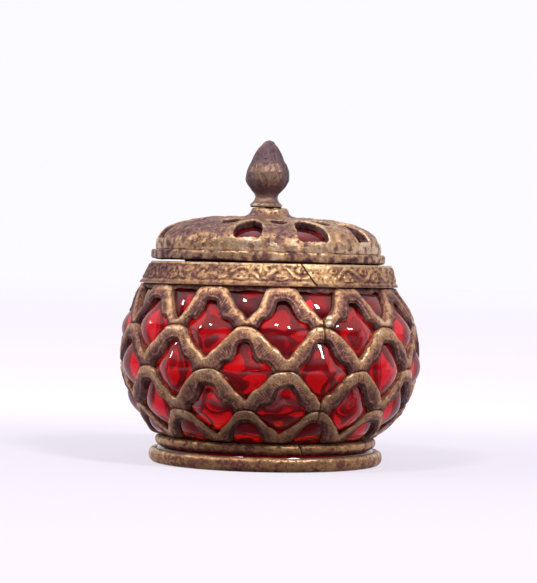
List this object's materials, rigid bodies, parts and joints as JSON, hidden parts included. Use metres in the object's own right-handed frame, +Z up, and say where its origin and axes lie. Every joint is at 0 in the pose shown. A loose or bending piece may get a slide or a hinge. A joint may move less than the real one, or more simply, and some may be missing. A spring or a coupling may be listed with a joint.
{
  "type": "lidded caged-glass pot",
  "caption": "Round red glass pot blown into a cast lattice cage, with a rim collar, a foot ring and a low domed openwork lid with a bud-shaped finial.",
  "frame": {"origin": "middle of the base ring's underside, on the surface the pot stands on", "axes": "+Z up through the finial, +X to the right and -Y towards the viewer in the pictured view"},
  "size_m": [0.1014, 0.1014, 0.1094],
  "materials": {
    "cast_brass": "cast, dark brown patina, gold where worn",
    "dark_brass": "dull, dark brown patina",
    "braze": "bright, rough bead of braze",
    "red_glass": "blown, clear, deep red"
  },
  "bodies": {
    "pot": {"base_ring": "cast_brass", "glass_jar": "red_glass", "foot_band": "cast_brass", "cage_row_1": "cast_brass", "cage_row_2": "cast_brass", "cage_row_3": "cast_brass", "cage_row_4": "cast_brass", "seam_braze": "braze", "neck_collar": "cast_brass"},
    "lid": {"lid_rim": "cast_brass", "lid_spigot": "dark_brass", "lid_dome": "cast_brass", "lid_glass": "red_glass", "finial": "cast_brass", "finial_washer": "dark_brass"}
  },
  "joints": [
    {"name": "lid_lift", "type": "slide", "parent": "pot", "child": "lid", "axis": [0, 0, 1], "range_m": [0, 0.06]}
  ]
}
